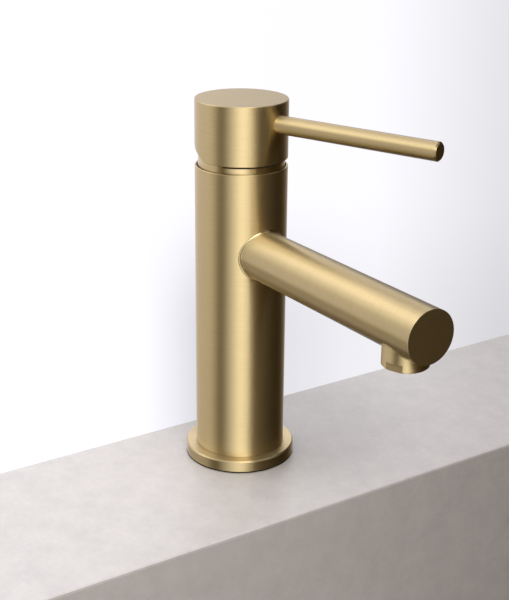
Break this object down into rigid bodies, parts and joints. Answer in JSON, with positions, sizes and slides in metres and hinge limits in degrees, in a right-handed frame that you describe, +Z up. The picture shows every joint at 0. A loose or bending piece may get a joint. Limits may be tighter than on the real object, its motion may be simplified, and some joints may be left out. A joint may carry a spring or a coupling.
{
  "type": "basin mixer",
  "caption": "Single-lever basin mixer with an upright round body, a straight closed-end spout, an aerator and a pin lever on a tilting cap, clamped through a deck hole.",
  "frame": {"origin": "centre of the base on the deck surface, on the body's axis", "axes": "+Z up along the body, +X along the spout towards the user, +Y to the user's right"},
  "size_m": [0.159, 0.0644, 0.2403],
  "materials": {
    "brushed_brass": "brushed champagne-gold coating, satin, fine circumferential lines",
    "raw_brass": "machined, uncoated",
    "zinc_steel": "zinc-plated",
    "stainless_steel": "bright drawn",
    "white_acetal": "moulded, satin",
    "grey_plastic": "moulded, satin",
    "ceramic": "lapped alumina",
    "black_rubber": "matt"
  },
  "bodies": {
    "mixer_body": {"base_seal": "black_rubber", "base_ring": "brushed_brass", "body": "brushed_brass", "fixing_stud": "zinc_steel", "horseshoe_gasket": "black_rubber", "horseshoe_washer": "zinc_steel", "fixing_nut": "raw_brass", "spout": "brushed_brass", "outlet_socket": "brushed_brass", "aerator_housing": "brushed_brass", "aerator_core": "grey_plastic", "aerator_screen": "stainless_steel", "aerator_washer": "black_rubber", "port_seals": "black_rubber", "cartridge_base": "grey_plastic", "disc_seals": "black_rubber", "fixed_disc": "ceramic", "cartridge_housing": "white_acetal", "retaining_nut": "raw_brass", "bonnet": "brushed_brass", "bonnet_oring": "black_rubber"},
    "cartridge_guide": {"stem_guide": "white_acetal", "stem_pin": "stainless_steel"},
    "mixing_disc": {"moving_disc": "ceramic", "disc_carrier": "white_acetal"},
    "handle": {"stem": "raw_brass", "handle_cap": "brushed_brass", "grub_screw": "stainless_steel", "lever_pin": "brushed_brass"}
  },
  "joints": [
    {"name": "handle_swing", "type": "hinge", "parent": "mixer_body", "child": "cartridge_guide", "pos_m": [0, 0, 0.14], "axis": [0, 0, 1], "range_deg": [-70, 29]},
    {"name": "handle_lift", "type": "hinge", "parent": "cartridge_guide", "child": "handle", "pos_m": [0, 0, 0.14], "axis": [0.3502, -0.9367, 0], "range_deg": [0, 25]},
    {"name": "disc_slide", "type": "slide", "parent": "cartridge_guide", "child": "mixing_disc", "axis": [0.9367, 0.3502, 0], "range_m": [0, 0.0045]}
  ],
  "couplings": [
    {"joint": "disc_slide", "follows": "handle_lift", "m_per_rad": 0.010073}
  ]
}
